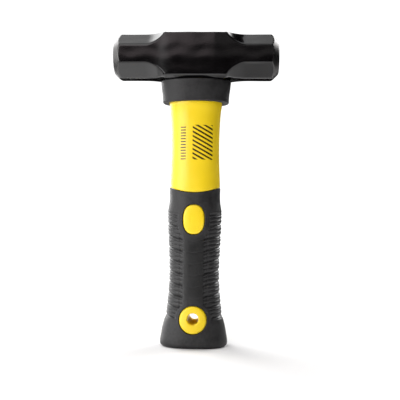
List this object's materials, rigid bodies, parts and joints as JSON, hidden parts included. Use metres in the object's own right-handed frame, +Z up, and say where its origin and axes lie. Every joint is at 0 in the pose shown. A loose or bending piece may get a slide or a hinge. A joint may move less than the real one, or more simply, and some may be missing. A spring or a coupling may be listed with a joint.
{
  "type": "lump hammer",
  "caption": "Short two-faced lump hammer: octagonal-ended steel head bonded to a waisted plastic handle with a rubber collar, a ribbed rubber grip and a hanging hole.",
  "frame": {"origin": "middle of the flat underside of the butt, on which the hammer can stand", "axes": "+Z up the handle towards the head, +X along the head towards the right striking face, -Y towards the viewer of the front; the front and the back are alike"},
  "size_m": [0.129, 0.037, 0.2412],
  "materials": {
    "lacquered_steel": "glossy black lacquer over forged steel",
    "fibreglass": "sawn end of a glass-fibre rod",
    "resin": "dark cast epoxy",
    "foam": "grey foam washer",
    "collar_rubber": "matt black moulded rubber",
    "yellow_plastic": "semi-gloss yellow moulded plastic",
    "grip_rubber": "satin black soft moulded rubber"
  },
  "bodies": {
    "root": {"hammer_head": "lacquered_steel", "fibreglass_core": "fibreglass", "eye_resin": "resin", "eye_seal": "foam", "head_collar": "collar_rubber", "handle_jacket": "yellow_plastic", "rubber_grip": "grip_rubber"}
  },
  "joints": []
}
